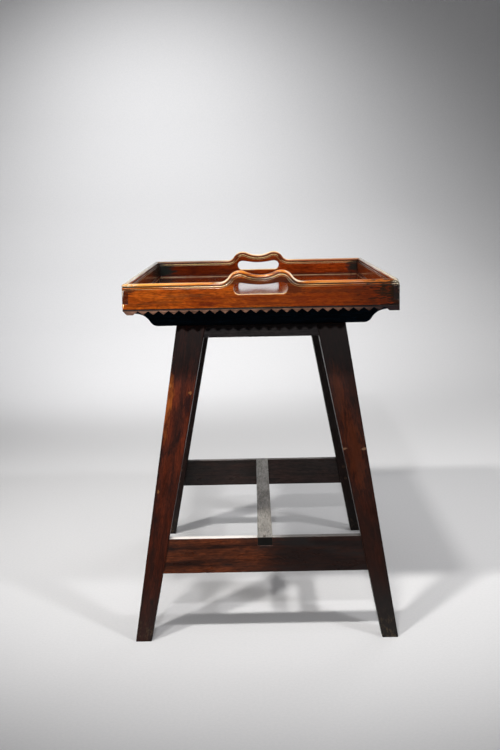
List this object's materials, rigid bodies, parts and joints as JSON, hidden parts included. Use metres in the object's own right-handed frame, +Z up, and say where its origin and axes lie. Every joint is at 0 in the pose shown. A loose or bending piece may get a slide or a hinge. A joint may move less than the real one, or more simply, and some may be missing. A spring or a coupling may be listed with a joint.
{
  "type": "butler tray on stand",
  "caption": "Deep rectangular wooden tray with raised pierced handles and a saw-toothed skirt, lying loose on a low-stretchered stand with splayed tapering legs.",
  "frame": {"origin": "on the floor under the middle of the stand, which is also the middle of the tray's plan", "axes": "+X to the tray's right, across its width; +Y to its far end, along its length; +Z up. The raised handles are in the walls at -Y and +Y."},
  "size_m": [0.54, 0.7246, 0.7543],
  "materials": {
    "tray_wall_wood": "glossy polish over reddish figured hardwood, worn at the edges",
    "tray_floor_wood": "glossy polish over reddish hardwood",
    "bead_wood": "satin polish, rubbed pale along the crest",
    "skirt_wood": "satin polish over reddish hardwood",
    "pin_steel": "dull dark steel",
    "leg_wood": "semi-gloss dark red-brown polish, mottled with age",
    "bearer_wood": "satin dark brown polish",
    "rail_wood": "satin dark brown polish",
    "stretcher_wood": "semi-gloss dark red-brown polish, dry and grey on top",
    "peg_wood": "dull end grain"
  },
  "bodies": {
    "stand": {"front_left_leg": "leg_wood", "front_right_leg": "leg_wood", "back_left_leg": "leg_wood", "back_right_leg": "leg_wood", "front_bearer": "bearer_wood", "back_bearer": "bearer_wood", "front_apron": "rail_wood", "back_apron": "rail_wood", "left_side_rail": "rail_wood", "right_side_rail": "rail_wood", "front_stretcher": "stretcher_wood", "back_stretcher": "stretcher_wood", "medial_stretcher": "stretcher_wood", "bearer_pegs": "peg_wood", "apron_pegs": "peg_wood", "side_rail_pegs": "peg_wood", "stretcher_pegs": "peg_wood", "medial_pegs": "peg_wood"},
    "tray": {"tray_front_board": "tray_wall_wood", "tray_back_board": "tray_wall_wood", "tray_left_board": "tray_wall_wood", "tray_right_board": "tray_wall_wood", "tray_floor_left_board": "tray_floor_wood", "tray_floor_right_board": "tray_floor_wood", "front_floor_bead": "bead_wood", "back_floor_bead": "bead_wood", "left_floor_bead": "bead_wood", "right_floor_bead": "bead_wood", "front_skirt": "skirt_wood", "back_skirt": "skirt_wood", "left_skirt": "skirt_wood", "right_skirt": "skirt_wood", "skirt_pins": "pin_steel"}
  },
  "joints": [
    {"name": "tray_lift", "type": "slide", "parent": "stand", "child": "tray", "axis": [0, 0, 1], "range_m": [0, 0.15]}
  ]
}
